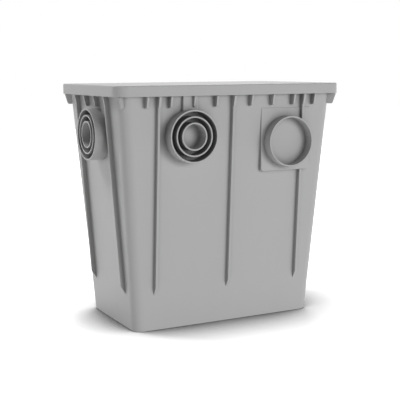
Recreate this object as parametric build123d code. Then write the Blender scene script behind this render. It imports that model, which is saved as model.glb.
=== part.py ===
"""Under-sink grease trap: a tapered, ribbed tub with a lift-off lid and its loose inner parts.

Millimetres, +Z up. The origin is the centre of the tub's flat floor, on the surface it stands on.
+X runs along the long front side from the inlets to the outlet, and the front side faces -Y.
"""
import os

from build123d import *

# Tub walls, measured outside: planes that lean out from the floor to the mouth, with rounded corners
tub_height = 504.0
floor_length = 428.0
floor_width = 243.0
mouth_length = 503.0
mouth_width = 306.0
wall_corner = 22.0
wall = 4.0
floor_thickness = 5.0
floor_edge = 2.5

# Rim flange round the mouth
rim_overhang = 10.0
rim_thickness = 4.0

# Lid, a cap that drops over the rim and rests on its seal
lid_wall = 3.0
lid_plate = 3.0
lid_height = 22.0
lid_corner = 27.0
lid_clearance = 1.0
lid_edge = 2.5
lid_rib_depth = 10.0
lid_rib_thickness = 2.5
lid_rib_count = 3
lid_rib_pitch = 125.0
lid_ring_clearance = 3.0

# Seal between the rim and the lid
seal_thickness = 4.0
seal_setback = 1.5
seal_width = 8.0

# Gussets under the rim; the front and back ones reach out as far as the lid's face just below it
gusset_thickness = 4.0
gusset_height = 34.0
front_gusset_reach = 11.0
side_gusset_reach = 7.7
gusset_foot_radius = 4.0
front_gusset_places = (41.5, 93.5, 145.5, 197.5)
side_gusset_places = (28.0,)
corner_gusset_angle = 45.0
corner_gusset_length = 60.0

# Fins down the walls
fin_thickness = 5.0
fin_reach = 9.5
fin_tip = 77.0
fin_chamfer = 17.0
fin_top_gap = 3.0
fin_round = 1.2
front_fin_places = (-171.0, 0.0, 171.0)
side_fin_places = (-84.0, 84.0)

# Pipe sockets: one bore for each pipe size, smallest first, closed by a membrane to knock out
socket_bores = (51.0, 76.2, 102.0)
collar_wall = 3.0
socket_reach = 29.0
membrane = 3.0
front_inlet_x = -100.5
front_inlet_drop = 96.5
side_inlet_y = -17.0
side_inlet_drop = 95.5
outlet_x = 131.8
outlet_drop = 115.5

# Flat pad that carries the outlet socket and closes it, and the web that ties the front inlet to the rim
pad_width = 122.0
pad_below = 63.5
pad_above = 71.5
pad_corner = 6.0
pad_step = 0.8
pad_bevel = 0.7
web_width = 33.5
web_setback = 4.5
web_round = 1.5

# Baffle plates, which drop into rails on the front and back walls
baffle_thickness = 3.0
baffle_clearance = 0.3
baffle_end_clearance = 1.0
baffle_drop = 44.0
baffle_lip = 12.0
inlet_baffle_x = -48.0
inlet_baffle_bottom = 110.0
outlet_baffle_x = 50.0
outlet_baffle_bottom = 70.0
rail_thickness = 3.0
rail_depth = 10.0
rail_stop_height = 6.0

# Solids basket, which hangs by its rim on ribs in the inlet chamber, with its rim at the water line
basket_wall_gap = 9.0
basket_rail_gap = 4.0
basket_side_gap = 11.0
basket_depth = 150.0
basket_draft = 12.0
basket_corner = 16.0
basket_wall = 2.5
basket_rim_thickness = 3.0
basket_rim_ends = 7.0
basket_rim_sides = 17.0
basket_slot = 5.0
basket_slot_pitch = 14.0
basket_slot_edge = 14.0
basket_floor_rows = 2
basket_floor_bar = 12.0
seat_bearing = 8.0
seat_rib_thickness = 4.0
seat_rib_spread = 90.0

# Bail handle of the basket, a moulded bar with round pins at its ends
bail_bar_height = 7.0
bail_bar_width = 6.0
bail_bar_chamfer = 1.5
bail_pin = 6.0
bail_reach = 68.0
bail_bend = 20.0
bail_rest_gap = 0.3
bail_pin_clearance = 0.1
bail_pin_end = 2.0
bail_ear_gap = 1.0
ear_thickness = 4.0
ear_width = 16.0
ear_cover = 5.0
ear_inset = 4.0

# Worked out from the sizes above
overlap = 1.0
mouth_overrun = 2.0
rim_underside = tub_height - rim_thickness
rim_half_length = mouth_length / 2 + rim_overhang
rim_half_width = mouth_width / 2 + rim_overhang
rim_corner = lid_corner - lid_wall - lid_clearance
lid_half_length = rim_half_length + lid_clearance + lid_wall
lid_half_width = rim_half_width + lid_clearance + lid_wall
lid_underside = tub_height + seal_thickness
lid_bottom = lid_underside + lid_plate - lid_height
gusset_foot = rim_underside - gusset_height
fin_top = lid_bottom - fin_top_gap
front_inlet_z = tub_height - front_inlet_drop
side_inlet_z = tub_height - side_inlet_drop
outlet_z = tub_height - outlet_drop
water_line = outlet_z - socket_bores[-1] / 2
baffle_top = tub_height - baffle_drop
rail_half_slot = baffle_thickness / 2 + baffle_clearance
rail_half_outer = rail_half_slot + rail_thickness

FRONT, BACK, LEFT, RIGHT = Vector(0, -1, 0), Vector(0, 1, 0), Vector(-1, 0, 0), Vector(1, 0, 0)


def leaning(at_floor, at_mouth, z):
    """A size that changes evenly from the floor to the mouth."""
    return at_floor + (at_mouth - at_floor) * z / tub_height


def half_length(z):
    return leaning(floor_length, mouth_length, z) / 2


def half_width(z):
    return leaning(floor_width, mouth_width, z) / 2


# The basket's rim fills the inlet chamber at the water line, between the left wall and the baffle's rails
basket_left = basket_wall_gap + wall - half_length(water_line)
basket_right = inlet_baffle_x - rail_half_outer - basket_rail_gap
basket_x = (basket_left + basket_right) / 2
basket_rim_half_length = (basket_right - basket_left) / 2
basket_rim_half_width = half_width(water_line) - wall - basket_side_gap
basket_half_length = basket_rim_half_length - basket_rim_ends
basket_half_width = basket_rim_half_width - basket_rim_sides
basket_rim_top = water_line + basket_rim_thickness
basket_bottom = basket_rim_top - basket_depth
bail_z = basket_rim_top + bail_rest_gap + bail_bar_height / 2
ear_y = basket_half_width + ear_inset


def outline(half_x, half_y, radius, z):
    """A rectangle with rounded corners, lying at height z."""
    return Plane.XY.offset(z) * RectangleRounded(2 * half_x, 2 * half_y, radius)


def rim_outline(z, inset=0.0):
    return outline(rim_half_length - inset, rim_half_width - inset, rim_corner - inset, z)


def lid_outline(inset=0.0):
    return outline(lid_half_length - inset, lid_half_width - inset, lid_corner - inset, lid_bottom)


def tapered_block(low, high, z_low, z_high, radius):
    """A block with plane leaning sides and evenly rounded corners, from its half sizes at two heights."""
    reach = max(*low, *high)
    wedges = []
    for plane, low_half, high_half in zip((Plane.XZ, Plane.YZ), low, high):
        points = [(-low_half, z_low), (low_half, z_low), (high_half, z_high), (-high_half, z_high)]
        wedges.append(extrude(make_face(plane * Polyline(*points, close=True)), reach, both=True))
    block = wedges[0] & wedges[1]
    return fillet(block.edges().group_by(Axis.Z)[1], radius)


def wall_block(z_low, z_high, grow=0.0):
    """A solid that follows the leaning walls between two heights, moved out by grow."""
    low = half_length(z_low) + grow, half_width(z_low) + grow
    high = half_length(z_high) + grow, half_width(z_high) + grow
    return tapered_block(low, high, z_low, z_high, wall_corner + grow)


def slab(x_low, x_high, y_low, y_high, z_low, z_high):
    """A block between six planes."""
    centre = Vector((x_low + x_high) / 2, (y_low + y_high) / 2, (z_low + z_high) / 2)
    return Pos(centre) * Box(x_high - x_low, y_high - y_low, z_high - z_low)


def upright_plane(outward, along):
    """A plane across a wall: its x axis points out of the wall and its y axis up."""
    side = Vector(0, 0, 1).cross(outward)
    return Plane(origin=side * along, x_dir=outward, z_dir=outward.cross(Vector(0, 0, 1)))


def plate(outward, along, points, thickness):
    """A plate across a wall from (distance out, height) points, at a place along that wall."""
    face = make_face(Polyline(*points, close=True))
    return extrude(upright_plane(outward, along) * face, thickness / 2, both=True)


def place_along(outward, coordinate):
    """Turn an X or Y coordinate into a distance along a wall's own side direction."""
    side = Vector(0, 0, 1).cross(outward)
    return coordinate * (side.X + side.Y)


def fin(outward, coordinate, z_low=fin_tip, z_high=fin_top):
    """A fin that stands out evenly from the leaning wall, with a slanting lower end and rounded edges."""
    half = half_width if outward.X == 0 else half_length
    heel = min(fin_chamfer, (z_high - z_low) / 2)
    inside = half(z_low) - wall
    points = [
        (inside, z_low),
        (half(z_low), z_low),
        (half(z_low + heel) + fin_reach, z_low + heel),
        (half(z_high) + fin_reach, z_high),
        (inside, z_high),
    ]
    blade = plate(outward, place_along(outward, coordinate), points, fin_thickness)
    outer_face = blade.faces().sort_by(Axis((0, 0, 0), outward))[-1]
    return fillet(outer_face.edges().sort_by(SortBy.LENGTH)[-2:], fin_round)


def gusset_band():
    """The space that the gussets fill: upright inside the lid, and leaning in to rounded feet below it."""
    low = half_length(gusset_foot) + side_gusset_reach, half_width(gusset_foot) + front_gusset_reach
    high = rim_half_length, lid_half_width
    shoulder = lid_bottom - lid_clearance
    band = tapered_block(low, high, gusset_foot, shoulder, rim_corner)
    band = fillet(band.edges().group_by(Axis.Z)[0], gusset_foot_radius)
    return band + extrude(rim_outline(shoulder), rim_underside - shoulder)


def gusset_plates():
    """Plates through the tub at every gusset and fin, before the band trims them."""
    solids = []
    fronts = [(sign * x, gusset_thickness) for x in front_gusset_places for sign in (-1, 1)]
    fronts += [(x, fin_thickness) for x in front_fin_places]
    for x, thickness in fronts:
        low, high = x - thickness / 2, x + thickness / 2
        solids.append(slab(low, high, -lid_half_width, lid_half_width, gusset_foot, rim_underside))
    sides = [(sign * y, gusset_thickness) for y in side_gusset_places for sign in (-1, 1)]
    sides += [(y, fin_thickness) for y in side_fin_places]
    for y, thickness in sides:
        low, high = y - thickness / 2, y + thickness / 2
        solids.append(slab(-lid_half_length, lid_half_length, low, high, gusset_foot, rim_underside))
    from_corner = (Align.MIN, Align.CENTER, Align.MIN)
    blade = Box(corner_gusset_length, gusset_thickness, gusset_height, align=from_corner)
    centre = Pos(half_length(gusset_foot) - wall_corner, half_width(gusset_foot) - wall_corner, gusset_foot)
    right_back = centre * Rot(0, 0, corner_gusset_angle) * blade
    right_front = mirror(right_back, Plane.XZ)
    solids += [right_back, right_front, mirror(right_back, Plane.YZ), mirror(right_front, Plane.YZ)]
    return solids


def socket_plane(outward, x, y, z):
    return Plane(origin=(x, y, z), x_dir=Vector(0, 0, 1).cross(outward), z_dir=outward)


def front_lip(z):
    return -(half_width(z) + socket_reach)


def side_lip(z):
    return -(half_length(z) + socket_reach)


pad_face = half_width(outlet_z + pad_above) + pad_step
front_inlet = socket_plane(FRONT, front_inlet_x, front_lip(front_inlet_z), front_inlet_z)
side_inlet = socket_plane(LEFT, side_lip(side_inlet_z), side_inlet_y, side_inlet_z)
outlet = socket_plane(FRONT, outlet_x, front_lip(outlet_z), outlet_z)


def socket_body(lip, depth):
    """The round boss of a socket, from its lip inwards."""
    radius = socket_bores[-1] / 2 + collar_wall
    return extrude(lip * Circle(radius), -depth)


def socket_hollow(lip, depth, bores):
    """What is cut out of a boss: the smallest bore, and a groove outside each inner collar."""
    cut = lip * Circle(bores[0] / 2)
    for inner, outer in zip(bores, bores[1:]):
        cut += lip * (Circle(outer / 2) - Circle(inner / 2 + collar_wall))
    return extrude(cut, -depth)


def outlet_pad():
    """The upright pad of the outlet, which stands a little proud of the leaning wall at its top."""
    low_x, high_x = outlet_x - pad_width / 2, outlet_x + pad_width / 2
    bottom, top = outlet_z - pad_below, outlet_z + pad_above
    block = slab(low_x, high_x, -pad_face, wall - half_width(bottom), bottom, top)
    block = fillet(block.edges().filter_by(Axis.Y).group_by(Axis.Z)[0], pad_corner)
    return chamfer(block.faces().sort_by(Axis.Y)[0].edges(), pad_bevel)


def pad_pocket():
    """The hollow behind the pad, which keeps it as thin as the walls."""
    low_x, high_x = outlet_x - pad_width / 2 + wall, outlet_x + pad_width / 2 - wall
    bottom, top = outlet_z - pad_below + wall, outlet_z + pad_above - wall
    return slab(low_x, high_x, wall - pad_face, 0, bottom, top)


def inlet_web():
    """The raised web from the front inlet's boss up to the rim."""
    face = rim_half_width - web_setback
    inside = half_width(front_inlet_z) - wall
    half = web_width / 2
    web = slab(front_inlet_x - half, front_inlet_x + half, -face, -inside, front_inlet_z, rim_underside)
    return fillet(web.edges().filter_by(Axis.Z).group_by(Axis.Y)[0], web_round)


def wall_fins():
    """Every fin; the one behind the outlet stops above its collar and starts again under its pad."""
    fins = [fin(BACK, x) for x in front_fin_places]
    fins += [fin(side, y) for side in (LEFT, RIGHT) for y in side_fin_places]
    pad_bottom = outlet_z - pad_below
    for x in front_fin_places:
        if abs(x - outlet_x) < pad_width / 2:
            fins.append(fin(FRONT, x, fin_tip, pad_bottom))
            fins.append(fin(FRONT, x, outlet_z, fin_top))
        else:
            fins.append(fin(FRONT, x))
    return fins


def rails():
    """Rails that hold the ends of both baffles, with a stop under each."""
    solids = []
    for x, bottom in ((inlet_baffle_x, inlet_baffle_bottom), (outlet_baffle_x, outlet_baffle_bottom)):
        low = bottom - rail_stop_height
        across = half_width(tub_height)
        column = slab(x - rail_half_outer, x + rail_half_outer, -across, across, low, baffle_top)
        slot = slab(x - rail_half_slot, x + rail_half_slot, -across, across, bottom, baffle_top)
        solids.append(column - slot)
    return solids


def seat_ribs():
    """Upright ribs on the front and back walls, whose tops carry the basket's rim."""
    edge = basket_rim_half_width - seat_bearing
    across = half_width(tub_height)
    solids = []
    for x in (basket_x - seat_rib_spread / 2, basket_x + seat_rib_spread / 2):
        half = seat_rib_thickness / 2
        for low, high in ((-across, -edge), (edge, across)):
            solids.append(slab(x - half, x + half, low, high, floor_thickness, water_line))
    return solids


def make_tub():
    """The tub as one moulding: walls, rim, gussets, fins, sockets, and the rails and ribs inside."""
    shell = wall_block(0, tub_height)
    shell = fillet(shell.edges().group_by(Axis.Z)[0], floor_edge)
    shell += extrude(rim_outline(rim_underside), rim_thickness)
    band = gusset_band()
    shell += [blade & band for blade in gusset_plates()]
    shell += wall_fins()
    shell += [outlet_pad(), inlet_web()]
    shell -= wall_block(floor_thickness, tub_height + mouth_overrun, -wall)
    shell -= pad_pocket()

    inside = wall_block(floor_thickness - overlap, tub_height, -wall + overlap)
    rail_core = wall_block(floor_thickness - overlap, tub_height, -wall - rail_depth)
    rail_band = inside - rail_core
    shell += [rail & rail_band for rail in rails()]
    shell += [rib & inside for rib in seat_ribs()]

    for lip in (front_inlet, side_inlet):
        shell += socket_body(lip, socket_reach + membrane)
        shell -= socket_hollow(lip, socket_reach, socket_bores)
    outlet_depth = -pad_face - outlet.origin.Y
    shell += socket_body(outlet, outlet_depth + overlap)
    shell -= socket_hollow(outlet, outlet_depth, socket_bores[-1:])
    return shell


def make_lid():
    """A cap that drops over the rim, with a ring and cross ribs under its plate."""
    cap = extrude(lid_outline(), lid_height)
    cap = fillet(cap.edges().group_by(Axis.Z)[-1], lid_edge)
    cap -= extrude(lid_outline(lid_wall), lid_height - lid_plate)

    rib_bottom = lid_underside - lid_rib_depth
    half_x = half_length(rib_bottom) - wall - lid_ring_clearance
    half_y = half_width(rib_bottom) - wall - lid_ring_clearance
    radius = wall_corner - wall - lid_ring_clearance
    t = lid_rib_thickness
    field = extrude(outline(half_x, half_y, radius, rib_bottom), lid_rib_depth)
    ring = field - extrude(outline(half_x - t, half_y - t, radius - t, rib_bottom), lid_rib_depth)
    cap += ring
    ribs = [slab(-half_x, half_x, -t / 2, t / 2, rib_bottom, lid_underside + overlap)]
    for number in range(lid_rib_count):
        x = (number - (lid_rib_count - 1) / 2) * lid_rib_pitch
        ribs.append(slab(x - t / 2, x + t / 2, -half_y, half_y, rib_bottom, lid_underside + overlap))
    cap += ribs
    return cap


def make_lid_seal():
    """A flat frame of foam rubber that lies on the rim."""
    frame = rim_outline(tub_height, seal_setback) - rim_outline(tub_height, seal_setback + seal_width)
    return extrude(frame, seal_thickness)


def make_baffle(x, bottom, lip_side):
    """A plate across the tub with leaning ends, and a lip along its top to lift it by."""
    def end(z):
        return half_width(z) - wall - baffle_end_clearance

    points = [
        (-end(bottom), bottom),
        (end(bottom), bottom),
        (end(baffle_top), baffle_top),
        (-end(baffle_top), baffle_top),
    ]
    sheet = plate(RIGHT, 0, [(y, z) for y, z in points], baffle_thickness)
    sheet = Rot(0, 0, 90) * sheet
    lip_end = end(baffle_top) - rail_depth
    near, far = sorted((0, lip_side * (baffle_thickness / 2 + baffle_lip)))
    lip = slab(near, far, -lip_end, lip_end, baffle_top, baffle_top + baffle_thickness)
    return Pos(x, 0, 0) * (sheet + lip)


def basket_body(inset, z_low, z_high):
    """The basket's tapered body between two heights, moved in by inset."""
    half_sizes = []
    for z in (z_low, z_high):
        step = inset + basket_draft * (basket_rim_top - z) / basket_depth
        half_sizes.append((basket_half_length - step, basket_half_width - step))
    return tapered_block(*half_sizes, z_low, z_high, basket_corner - inset)


def basket_slots():
    """The slots through the basket's sides, ends and floor."""
    low = basket_bottom + basket_slot_edge
    high = water_line - basket_slot_edge
    reach_x = basket_half_length - basket_draft - basket_slot_edge
    reach_y = basket_half_width - basket_draft - basket_slot_edge
    across_x = int(2 * reach_x / basket_slot_pitch)
    across_y = int(2 * reach_y / basket_slot_pitch)
    side_slot = Box(basket_slot, 2 * basket_half_width, high - low)
    end_slot = Box(2 * basket_half_length, basket_slot, high - low)
    middle = Pos(0, 0, (low + high) / 2)
    slots = [middle * place * side_slot for place in GridLocations(basket_slot_pitch, 1, across_x, 1)]
    slots += [middle * place * end_slot for place in GridLocations(1, basket_slot_pitch, 1, across_y)]

    floor_reach = (2 * reach_y - basket_floor_bar * (basket_floor_rows - 1)) / basket_floor_rows
    floor_slot = Box(basket_slot, floor_reach, 2 * basket_wall)
    rows = GridLocations(basket_slot_pitch, floor_reach + basket_floor_bar, across_x, basket_floor_rows)
    slots += [Pos(0, 0, basket_bottom) * place * floor_slot for place in rows]
    return slots


def make_basket():
    """A slotted basket with a rim to hang by, and two ears for its handle."""
    body = basket_body(0, basket_bottom, basket_rim_top)
    rim = outline(basket_rim_half_length, basket_rim_half_width, basket_corner, water_line)
    body += extrude(rim, basket_rim_thickness)
    for side in (-1, 1):
        low_y, high_y = side * ear_y - ear_thickness / 2, side * ear_y + ear_thickness / 2
        top = bail_z + bail_pin / 2 + ear_cover
        ear = slab(-ear_width / 2, ear_width / 2, low_y, high_y, water_line, top)
        crown = ear.edges().filter_by(Axis.Y).group_by(Axis.Z)[-1]
        body += fillet(crown, ear_width / 2 - overlap)
    body -= basket_body(basket_wall, basket_bottom + basket_wall, basket_rim_top)
    pin_hole = Cylinder(bail_pin / 2 + bail_pin_clearance, 2 * basket_rim_half_width)
    body -= Pos(0, 0, bail_z) * Rot(90, 0, 0) * pin_hole
    body -= basket_slots()
    return Pos(basket_x, 0, 0) * body


def make_basket_handle():
    """A bar bent to a bail, with round ends and pins, lying folded over the basket to the left."""
    half_bar = bail_bar_width / 2
    arm_y = ear_y - ear_thickness / 2 - bail_ear_gap - half_bar
    low = -bail_bar_height / 2
    outer = outline(bail_reach + half_bar, arm_y + half_bar, bail_bend + half_bar, low)
    inner = outline(bail_reach - half_bar, arm_y - half_bar, bail_bend - half_bar, low)
    ring = extrude(outer - inner, bail_bar_height)
    flat_edges = ring.edges().group_by(Axis.Z)
    ring = chamfer(flat_edges[0] + flat_edges[-1], bail_bar_chamfer)
    left_side = slab(-2 * bail_reach, 0, -2 * arm_y, 2 * arm_y, low, -low)
    handle = ring & left_side
    arm_end = Cylinder(bail_bar_height / 2, bail_bar_width)
    arm_end = chamfer(arm_end.edges().filter_by(GeomType.CIRCLE), bail_bar_chamfer)
    pin_tip = ear_y + ear_thickness / 2 + bail_pin_end
    pin = Cylinder(bail_pin / 2, pin_tip - arm_y)
    for side in (-1, 1):
        handle += Pos(0, side * arm_y, 0) * Rot(90, 0, 0) * arm_end
        handle += Pos(0, side * (arm_y + pin_tip) / 2, 0) * Rot(90, 0, 0) * pin
    return Pos(basket_x, 0, bail_z) * handle


def main():
    os.makedirs("parts", exist_ok=True)
    parts = {
        "tub": make_tub(),
        "lid": make_lid(),
        "lid_seal": make_lid_seal(),
        "inlet_baffle": make_baffle(inlet_baffle_x, inlet_baffle_bottom, 1),
        "outlet_baffle": make_baffle(outlet_baffle_x, outlet_baffle_bottom, -1),
        "solids_basket": make_basket(),
        "basket_handle": make_basket_handle(),
    }
    for name, solid in parts.items():
        export_step(solid, f"parts/{name}.step")


main()
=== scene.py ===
"""Finishes and stage for a moulded plastic grease trap that stands under a sink.

The frame holds every piece at its real size, in metres. The trap stands on z = 0 with its front facing -Y.
"""
import math

import bpy
from bpy.props import FloatProperty, FloatVectorProperty, PointerProperty
from bpy.types import Operator, Panel, PropertyGroup
from mathutils import Matrix, Vector


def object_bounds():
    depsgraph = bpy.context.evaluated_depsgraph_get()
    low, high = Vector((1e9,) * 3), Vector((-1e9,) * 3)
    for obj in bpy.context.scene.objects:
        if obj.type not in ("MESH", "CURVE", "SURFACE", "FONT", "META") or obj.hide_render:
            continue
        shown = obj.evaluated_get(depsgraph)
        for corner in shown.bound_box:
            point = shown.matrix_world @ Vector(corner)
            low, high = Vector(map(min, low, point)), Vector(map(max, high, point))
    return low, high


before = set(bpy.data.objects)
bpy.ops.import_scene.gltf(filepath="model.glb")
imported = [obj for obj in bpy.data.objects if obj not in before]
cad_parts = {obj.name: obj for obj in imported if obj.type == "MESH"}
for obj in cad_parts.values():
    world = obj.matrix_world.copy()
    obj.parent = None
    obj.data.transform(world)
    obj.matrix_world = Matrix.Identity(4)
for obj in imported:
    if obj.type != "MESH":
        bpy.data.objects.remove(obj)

CAD_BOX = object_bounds()
PHOTO_WIDTH = 400.0

MEAN_NOISE = 0.5
FLOW_SHARE = 0.5
FLOW_LINES = (34.0, 34.0, 3.0)
BEVEL_SAMPLES = 6
OPEN_AIR_SAMPLES = 16

bl_info = {
    "name": "Grease Trap Finish",
    "version": (1, 0, 0),
    "blender": (4, 5, 0),
    "location": "3D View > Sidebar > Trap",
    "description": "Moulded plastic and rubber finishes for a grease trap, with a plain stage",
    "category": "Object",
}


def colour_property(name, default, description):
    """A colour, as linear red, green and blue."""
    return FloatVectorProperty(
        name=name,
        description=description,
        subtype="COLOR",
        size=3,
        min=0.0,
        max=1.0,
        default=default,
    )


def share_property(name, default, description):
    """A value from nothing to all."""
    return FloatProperty(name=name, description=description, min=0.0, max=1.0, default=default)


def length_property(name, default, description):
    """A length in metres."""
    return FloatProperty(
        name=name,
        description=description,
        unit="LENGTH",
        precision=5,
        min=0.0,
        default=default,
    )


def angle_property(name, default, description):
    """An angle, whose default is given in degrees."""
    return FloatProperty(name=name, description=description, default=math.radians(default), unit="ROTATION")


def power_property(name, default, description):
    """The power of a lamp in watts."""
    return FloatProperty(name=name, description=description, min=0.0, default=default, unit="POWER")


class MouldedPlastic:
    """Satin moulded plastic, whatever its colour."""

    roughness: share_property("Roughness", 0.46, "How matt the surface is")
    grain: length_property("Grain", 0.0012, "Size of the spark-eroded grain")
    grain_depth: length_property("Grain Depth", 0.00002, "Height of the grain")
    drift: share_property("Colour Drift", 0.05, "How much the tone drifts over a wall")
    wear: share_property("Edge Wear", 0.07, "How much lighter the rubbed edges are")
    polish: share_property("Polish", 0.08, "How much smoother edges and rougher hollows are")
    edge: length_property("Edge Radius", 0.0012, "Radius of the softened edges")
    # Painted shade: the colour is darkened in corners and grooves where shade falls.
    painted_shade: share_property("Painted Recess Shade", 0.7, "How much darker the deepest corners and grooves are")
    painted_shade_reach: length_property("Recess Reach", 0.025, "How near another wall has to be to darken one")


class ShellFinish(MouldedPlastic, PropertyGroup):
    """Plastic of the tub and of the lid."""

    colour: colour_property("Colour", (0.42, 0.42, 0.42), "Colour of the shell")


class BaffleFinish(MouldedPlastic, PropertyGroup):
    """Plastic of the baffles."""

    colour: colour_property("Colour", (0.4, 0.4, 0.4), "Colour of the baffles")


class BasketFinish(MouldedPlastic, PropertyGroup):
    """Plastic of the solids basket."""

    colour: colour_property("Colour", (0.36, 0.36, 0.36), "Colour of the basket")


class HandleFinish(MouldedPlastic, PropertyGroup):
    """Plastic of the basket's handle."""

    colour: colour_property("Colour", (0.3, 0.3, 0.3), "Colour of the handle")


class RubberFinish(PropertyGroup):
    """Closed-cell foam rubber."""

    colour: colour_property("Colour", (0.03, 0.03, 0.03), "Colour of the rubber")
    roughness: share_property("Roughness", 0.85, "How matt the surface is")
    drift: share_property("Colour Drift", 0.3, "How much the tone drifts over the rubber")
    cell: length_property("Cell Size", 0.0009, "Size of the foam's cells")
    cell_depth: length_property("Cell Depth", 0.00006, "Depth of the open cells")


class StageSettings(PropertyGroup):
    """Floor, lights and camera."""

    camera_place: FloatVectorProperty(
        name="Camera Place",
        description="Where the camera stands",
        subtype="TRANSLATION",
        unit="LENGTH",
        size=3,
        default=(-0.93624, -1.81266, 0.54697),
    )
    camera_turn: angle_property("Camera Turn", -27.351, "Turn of the view from facing the back")
    camera_dip: angle_property("Camera Dip", 8.309, "How far the view dips below level")
    camera_roll: angle_property("Camera Roll", -0.274, "Lean of the camera to one side")
    focal_pixels: FloatProperty(
        name="Focal Length",
        description="Focal length, in pixels of a frame 400 wide",
        min=1.0,
        default=912.25,
    )
    lamp_distance: length_property("Lamp Distance", 5.0, "How far the lamps stand from the middle")
    front_width: length_property("Front Lamp Width", 2.4, "Width of the long, low front lamp")
    front_rise: length_property("Front Lamp Rise", 1.8, "Height of the front lamp's own face")
    side_size: length_property("Side Lamp Size", 1.3, "Width and height of the left and the back lamps")
    front_turn: angle_property("Front Lamp Turn", 18.0, "Turn of the front lamp from the front")
    front_height: angle_property("Front Lamp Height", 10.0, "How high the front lamp stands")
    front_power: power_property("Front Lamp", 116.0, "Power of the lamp that lights the front")
    left_turn: angle_property("Left Lamp Turn", -136.0, "Turn of the left lamp from the front")
    left_height: angle_property("Left Lamp Height", 48.0, "How high the left lamp stands")
    left_power: power_property("Left Lamp", 140.0, "Power of the lamp that lights the left side")
    back_turn: angle_property("Back Lamp Turn", 148.0, "Turn of the back lamp from the front")
    back_height: angle_property("Back Lamp Height", 45.0, "How high the back lamp stands")
    back_power: power_property("Back Lamp", 60.0, "Power of the lamp that lights the back and right side")
    sky: share_property("Sky", 0.14, "Level of the even light all round")
    floor_size: length_property("Floor Size", 12.0, "Width and depth of the floor")
    floor_colour: colour_property("Floor Colour", (0.9, 0.9, 0.9), "Colour of the floor")
    floor_glow: share_property("Floor Glow", 1.0, "White that is added to the floor as the camera sees it")
    floor_bounce: share_property("Floor Bounce", 0.8, "Light that the floor throws up at the object")
    # Reach of the contact shadow painted on the floor.
    painted_contact_shadow: length_property("Contact Shadow", 0.2, "Reach of the shadow under the object")


FINISHES = {
    "tub_finish": ShellFinish,
    "lid_finish": ShellFinish,
    "seal_finish": RubberFinish,
    "baffle_finish": BaffleFinish,
    "basket_finish": BasketFinish,
    "handle_finish": HandleFinish,
    "stage_settings": StageSettings,
}


def new_group(name, inputs, outputs):
    """A shader node group with its sockets, and its two end nodes."""
    group = bpy.data.node_groups.new(name, "ShaderNodeTree")
    for label, kind, default in inputs:
        socket = group.interface.new_socket(label, in_out="INPUT", socket_type=kind)
        socket.default_value = default
    for label, kind in outputs:
        group.interface.new_socket(label, in_out="OUTPUT", socket_type=kind)
    return group, group.nodes.new("NodeGroupInput"), group.nodes.new("NodeGroupOutput")


def add_node(tree, kind, links=(), **settings):
    """A node with its settings, whose inputs take a value or another node's output."""
    node = tree.nodes.new(kind)
    for name, value in settings.items():
        setattr(node, name, value)
    for socket, value in dict(links).items():
        if isinstance(value, bpy.types.NodeSocket):
            tree.links.new(value, node.inputs[socket])
        else:
            node.inputs[socket].default_value = value
    return node


def maths(tree, operation, first, second=0.0):
    """The result of one sum on two values."""
    return add_node(tree, "ShaderNodeMath", {0: first, 1: second}, operation=operation).outputs[0]


def object_place(tree):
    """The place on the object, along its own axes and in metres."""
    return add_node(tree, "ShaderNodeTexCoord").outputs["Object"]


def noise(tree, place, scale, detail, roughness=0.5):
    """A value from 0 to 1 that wanders over the object."""
    settings = {"Vector": place, "Scale": scale, "Detail": detail, "Roughness": roughness}
    return add_node(tree, "ShaderNodeTexNoise", settings).outputs[0]


def mask(tree, value, empty, full):
    """A mask that rises from 0 where the value is at `empty` to 1 where it is at `full`."""
    settings = {"Value": value, "From Min": empty, "From Max": full}
    return add_node(tree, "ShaderNodeMapRange", settings).outputs[0]


def grain_group():
    """Fine spark-eroded grain, as a height in metres and a mask of its hollows."""
    group, given, result = new_group(
        "Moulded Grain",
        [("Size", "NodeSocketFloat", 0.0012), ("Depth", "NodeSocketFloat", 0.00002)],
        [("Height", "NodeSocketFloat"), ("Hollows", "NodeSocketFloat")],
    )
    scale = maths(group, "DIVIDE", 1.0, given.outputs["Size"])
    fine = noise(group, object_place(group), scale, detail=3.0, roughness=0.6)
    height = maths(group, "MULTIPLY", fine, given.outputs["Depth"])
    group.links.new(height, result.inputs["Height"])
    group.links.new(mask(group, fine, empty=0.55, full=0.35), result.inputs["Hollows"])
    return group


def edge_group():
    """A mask of the edges, from how far a rounded normal leans from the flat one, and that normal."""
    group, given, result = new_group(
        "Rubbed Edges",
        [("Radius", "NodeSocketFloat", 0.0012)],
        [("Mask", "NodeSocketFloat"), ("Normal", "NodeSocketVector")],
    )
    bevel = {"Radius": given.outputs["Radius"]}
    rounded = add_node(group, "ShaderNodeBevel", bevel, samples=BEVEL_SAMPLES).outputs[0]
    flat = add_node(group, "ShaderNodeNewGeometry").outputs["Normal"]
    lean = add_node(group, "ShaderNodeVectorMath", {0: rounded, 1: flat}, operation="DOT_PRODUCT")
    edges = mask(group, lean.outputs["Value"], empty=0.99, full=0.75)
    patches = mask(group, noise(group, object_place(group), scale=60.0, detail=4.0), empty=0.35, full=0.6)
    group.links.new(maths(group, "MULTIPLY", edges, patches), result.inputs["Mask"])
    group.links.new(rounded, result.inputs["Normal"])
    return group


def drift_group():
    """Slow changes of tone over a moulded wall, with faint upright flow lines, about zero."""
    group, given, result = new_group(
        "Tone Drift",
        [("Amount", "NodeSocketFloat", 0.05)],
        [("Tone", "NodeSocketFloat")],
    )
    place = object_place(group)
    clouds = noise(group, place, scale=5.0, detail=3.0)
    stretched = add_node(group, "ShaderNodeMapping", {"Vector": place, "Scale": FLOW_LINES}).outputs[0]
    flow = maths(group, "MULTIPLY", noise(group, stretched, scale=1.0, detail=4.0), FLOW_SHARE)
    both = maths(group, "ADD", clouds, flow)
    centred = maths(group, "SUBTRACT", both, MEAN_NOISE * (1.0 + FLOW_SHARE))
    group.links.new(maths(group, "MULTIPLY", centred, given.outputs["Amount"]), result.inputs["Tone"])
    return group


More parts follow.
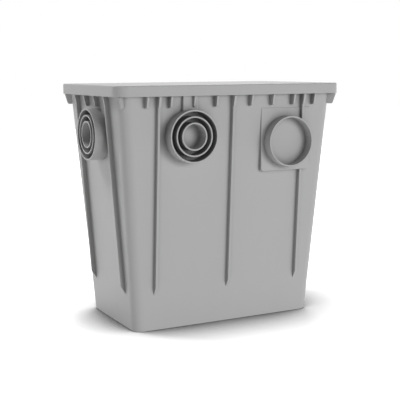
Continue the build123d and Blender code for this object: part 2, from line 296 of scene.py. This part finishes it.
def painted_shade_group():
    """Painted shade: a mask of grooves, corners and sockets, from how much of the open air they see, that
    darkens their colour.
    """
    group, given, result = new_group(
        "Painted Recess Shade",
        [("Reach", "NodeSocketFloat", 0.025)],
        [("Mask", "NodeSocketFloat")],
    )
    open_air = add_node(
        group,
        "ShaderNodeAmbientOcclusion",
        {"Distance": given.outputs["Reach"]},
        samples=OPEN_AIR_SAMPLES,
        only_local=True,
    )
    closed = mask(group, open_air.outputs["AO"], empty=0.85, full=0.1)
    group.links.new(closed, result.inputs["Mask"])
    return group


GROUP_MAKERS = {
    "Moulded Grain": grain_group,
    "Rubbed Edges": edge_group,
    "Tone Drift": drift_group,
    "Painted Recess Shade": painted_shade_group,
}


def use_group(tree, name, links):
    """A shared group placed in a material, with its own values. The group is made once."""
    node = tree.nodes.new("ShaderNodeGroup")
    node.node_tree = bpy.data.node_groups.get(name) or GROUP_MAKERS[name]()
    for socket, value in links.items():
        node.inputs[socket].default_value = value
    return node


def new_material(name, colour, roughness):
    """A material with an empty Principled shader, and the tree to build its look in."""
    material = bpy.data.materials.new(name)
    material.use_nodes = True
    tree = material.node_tree
    shader = tree.nodes["Principled BSDF"]
    shader.inputs["Base Color"].default_value = (*colour, 1.0)
    shader.inputs["Roughness"].default_value = roughness
    return material, tree, shader


def toned_colour(tree, colour, factor):
    """The colour, made lighter or darker by a factor that changes over the surface."""
    links = {0: tuple(colour), "Scale": factor}
    return add_node(tree, "ShaderNodeVectorMath", links, operation="SCALE").outputs[0]


def moulded_material(name, finish):
    """Satin plastic with grain, a drift of tone, shade painted into recesses, and softened and lightly
    rubbed edges.
    """
    material, tree, shader = new_material(name, finish.colour, finish.roughness)
    grain = use_group(tree, "Moulded Grain", {"Size": finish.grain, "Depth": finish.grain_depth})
    edges = use_group(tree, "Rubbed Edges", {"Radius": finish.edge})
    drift = use_group(tree, "Tone Drift", {"Amount": finish.drift})
    # Painted shade: the colour darkens where a piece sees little open air.
    painted_shade_node = use_group(tree, "Painted Recess Shade", {"Reach": finish.painted_shade_reach})
    worn = maths(tree, "MULTIPLY", edges.outputs["Mask"], finish.wear)
    shade = maths(tree, "MULTIPLY", painted_shade_node.outputs["Mask"], finish.painted_shade)
    factor = maths(tree, "ADD", maths(tree, "ADD", drift.outputs["Tone"], 1.0), worn)
    factor = maths(tree, "MULTIPLY", factor, maths(tree, "SUBTRACT", 1.0, shade))
    tree.links.new(toned_colour(tree, finish.colour, factor), shader.inputs["Base Color"])
    rough = maths(tree, "MULTIPLY", grain.outputs["Hollows"], finish.polish)
    rough = maths(tree, "ADD", rough, finish.roughness)
    rubbed = maths(tree, "MULTIPLY", edges.outputs["Mask"], finish.polish)
    tree.links.new(maths(tree, "SUBTRACT", rough, rubbed), shader.inputs["Roughness"])
    relief = {"Height": grain.outputs["Height"], "Normal": edges.outputs["Normal"], "Distance": 1.0}
    tree.links.new(add_node(tree, "ShaderNodeBump", relief).outputs[0], shader.inputs["Normal"])
    return material


def rubber_material(finish):
    """Dull foam rubber with small open cells."""
    material, tree, shader = new_material("Foam Rubber", finish.colour, finish.roughness)
    foam = {"Vector": object_place(tree), "Scale": 1.0 / finish.cell}
    cells = add_node(tree, "ShaderNodeTexVoronoi", foam)
    depth = maths(tree, "MULTIPLY", cells.outputs["Distance"], finish.cell_depth)
    drift = use_group(tree, "Tone Drift", {"Amount": finish.drift})
    factor = maths(tree, "ADD", drift.outputs["Tone"], 1.0)
    tree.links.new(toned_colour(tree, finish.colour, factor), shader.inputs["Base Color"])
    bump = add_node(tree, "ShaderNodeBump", {"Height": depth, "Distance": 1.0})
    tree.links.new(bump.outputs[0], shader.inputs["Normal"])
    return material


def dress(node, material):
    """Give one piece of the frame its finish."""
    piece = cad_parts[node]
    piece.data.materials.clear()
    piece.data.materials.append(material)


class TRAP_OT_tub(Operator):
    """Finish the tub"""

    bl_idname = "trap.tub"
    bl_label = "Tub"

    def execute(self, context):
        dress("tub", moulded_material("Tub Plastic", context.scene.tub_finish))
        return {"FINISHED"}


class TRAP_OT_lid(Operator):
    """Finish the lid"""

    bl_idname = "trap.lid"
    bl_label = "Lid"

    def execute(self, context):
        dress("lid", moulded_material("Lid Plastic", context.scene.lid_finish))
        return {"FINISHED"}


class TRAP_OT_lid_seal(Operator):
    """Finish the seal under the lid"""

    bl_idname = "trap.lid_seal"
    bl_label = "Lid Seal"

    def execute(self, context):
        dress("lid_seal", rubber_material(context.scene.seal_finish))
        return {"FINISHED"}


class TRAP_OT_baffles(Operator):
    """Finish the two baffles"""

    bl_idname = "trap.baffles"
    bl_label = "Baffles"

    def execute(self, context):
        material = moulded_material("Baffle Plastic", context.scene.baffle_finish)
        for node in ("inlet_baffle", "outlet_baffle"):
            dress(node, material)
        return {"FINISHED"}


class TRAP_OT_solids_basket(Operator):
    """Finish the solids basket"""

    bl_idname = "trap.solids_basket"
    bl_label = "Solids Basket"

    def execute(self, context):
        dress("solids_basket", moulded_material("Basket Plastic", context.scene.basket_finish))
        return {"FINISHED"}


class TRAP_OT_basket_handle(Operator):
    """Finish the handle of the basket"""

    bl_idname = "trap.basket_handle"
    bl_label = "Basket Handle"

    def execute(self, context):
        dress("basket_handle", moulded_material("Handle Plastic", context.scene.handle_finish))
        return {"FINISHED"}


def seen_share(tree):
    """1 for what the camera sees, straight or by reflection, and 0 for other rays."""
    path = add_node(tree, "ShaderNodeLightPath")
    seen = maths(tree, "MAXIMUM", path.outputs["Is Camera Ray"], path.outputs["Is Glossy Ray"])
    return maths(tree, "MAXIMUM", seen, path.outputs["Is Transmission Ray"])


def make_floor(stage):
    """A wide floor that the camera sees as white, with the lamps' real shadows and a soft contact shadow
    painted in where the object stands.

    To the object it is a source of even light.
    """
    bpy.ops.mesh.primitive_plane_add(size=stage.floor_size, location=(0.0, 0.0, 0.0))
    floor = bpy.context.object
    floor.name = "floor"
    material, tree, shader = new_material("Floor", stage.floor_colour, 1.0)
    shader.inputs["Specular IOR Level"].default_value = 0.0
    reach = {"Distance": stage.painted_contact_shadow}
    open_air = add_node(tree, "ShaderNodeAmbientOcclusion", reach, samples=OPEN_AIR_SAMPLES)
    # Painted contact shadow: as the camera sees it, the floor's white and colour dim where it sees little
    # open air near the object.
    outside_painted_shadow = mask(tree, open_air.outputs["AO"], empty=0.4, full=1.0)
    shader.inputs["Emission Color"].default_value = (1.0, 1.0, 1.0, 1.0)
    seen = seen_share(tree)
    glow = maths(tree, "MULTIPLY", seen, maths(tree, "MULTIPLY", outside_painted_shadow, stage.floor_glow))
    bounce = maths(tree, "MULTIPLY", maths(tree, "SUBTRACT", 1.0, seen), stage.floor_bounce)
    tree.links.new(maths(tree, "ADD", glow, bounce), shader.inputs["Emission Strength"])
    seen_tone_with_painted_shadow = maths(tree, "MULTIPLY", seen, outside_painted_shadow)
    tree.links.new(toned_colour(tree, stage.floor_colour, seen_tone_with_painted_shadow), shader.inputs["Base Color"])
    floor.data.materials.append(material)


def make_world(stage):
    """Even light all round, and white where the camera sees it."""
    world = bpy.data.worlds.new("Even Light")
    world.use_nodes = True
    bpy.context.scene.world = world
    tree = world.node_tree
    background = tree.nodes["Background"]
    background.inputs["Color"].default_value = (1.0, 1.0, 1.0, 1.0)
    seen = seen_share(tree)
    rest = maths(tree, "MULTIPLY", maths(tree, "SUBTRACT", 1.0, seen), stage.sky)
    tree.links.new(maths(tree, "ADD", seen, rest), background.inputs["Strength"])


def make_lamp(name, turn, height, power, size, distance):
    """A soft lamp, turned from the front and raised, that faces the middle of the object."""
    lamp = bpy.data.lights.new(name, "AREA")
    lamp.shape = "RECTANGLE"
    lamp.size, lamp.size_y = size
    lamp.energy = power
    light = bpy.data.objects.new(name, lamp)
    away = Vector((math.sin(turn) * math.cos(height), -math.cos(turn) * math.cos(height), math.sin(height)))
    place = Vector((0.0, 0.0, CAD_BOX[1][2] / 2)) + away * distance
    light.matrix_world = Matrix.Translation(place) @ away.to_track_quat("Z", "Y").to_matrix().to_4x4()
    bpy.context.scene.collection.objects.link(light)


def make_camera(stage):
    """The camera, at the photograph's angle."""
    lens = bpy.data.cameras.new("Camera")
    lens.sensor_fit = "HORIZONTAL"
    lens.lens = stage.focal_pixels / PHOTO_WIDTH * lens.sensor_width
    camera = bpy.data.objects.new("Camera", lens)
    turn = Matrix.Rotation(stage.camera_turn, 4, "Z")
    dip = Matrix.Rotation(math.radians(90.0) - stage.camera_dip, 4, "X")
    roll = Matrix.Rotation(stage.camera_roll, 4, "Z")
    camera.matrix_world = Matrix.Translation(stage.camera_place) @ turn @ dip @ roll
    bpy.context.scene.collection.objects.link(camera)
    bpy.context.scene.camera = camera


class TRAP_OT_stage(Operator):
    """Set up the floor, the lights, the world and the camera"""

    bl_idname = "trap.stage"
    bl_label = "Stage"

    def execute(self, context):
        stage = context.scene.stage_settings
        make_floor(stage)
        make_world(stage)
        front = stage.front_width, stage.front_rise
        side = stage.side_size, stage.side_size
        lamps = {
            "front_lamp": (stage.front_turn, stage.front_height, stage.front_power, front),
            "left_lamp": (stage.left_turn, stage.left_height, stage.left_power, side),
            "back_lamp": (stage.back_turn, stage.back_height, stage.back_power, side),
        }
        for name, (turn, height, power, size) in lamps.items():
            make_lamp(name, turn, height, power, size, stage.lamp_distance)
        # The front lamp is low, and from behind its reflection would wash out the lid's top.
        bpy.data.objects["front_lamp"].visible_glossy = False
        make_camera(stage)
        context.scene.view_settings.view_transform = "Standard"
        return {"FINISHED"}


class TRAP_PT_panel(Panel):
    """Lists the trap's finishes and its stage"""

    bl_idname = "TRAP_PT_panel"
    bl_label = "Grease Trap"
    bl_space_type = "VIEW_3D"
    bl_region_type = "UI"
    bl_category = "Trap"

    def draw(self, context):
        for operator in OPERATORS:
            self.layout.operator(operator.bl_idname)


OPERATORS = (
    TRAP_OT_tub,
    TRAP_OT_lid,
    TRAP_OT_lid_seal,
    TRAP_OT_baffles,
    TRAP_OT_solids_basket,
    TRAP_OT_basket_handle,
    TRAP_OT_stage,
)
GROUPS = (ShellFinish, RubberFinish, BaffleFinish, BasketFinish, HandleFinish, StageSettings)


def register():
    for made in (*GROUPS, *OPERATORS, TRAP_PT_panel):
        bpy.utils.register_class(made)
    for name, group in FINISHES.items():
        setattr(bpy.types.Scene, name, PointerProperty(type=group))


def unregister():
    for name in FINISHES:
        delattr(bpy.types.Scene, name)
    for made in reversed((*GROUPS, *OPERATORS, TRAP_PT_panel)):
        bpy.utils.unregister_class(made)


def main():
    register()
    bpy.ops.trap.tub()
    bpy.ops.trap.lid()
    bpy.ops.trap.lid_seal()
    bpy.ops.trap.baffles()
    bpy.ops.trap.solids_basket()
    bpy.ops.trap.basket_handle()
    bpy.ops.trap.stage()


if __name__ == "__main__":
    main()
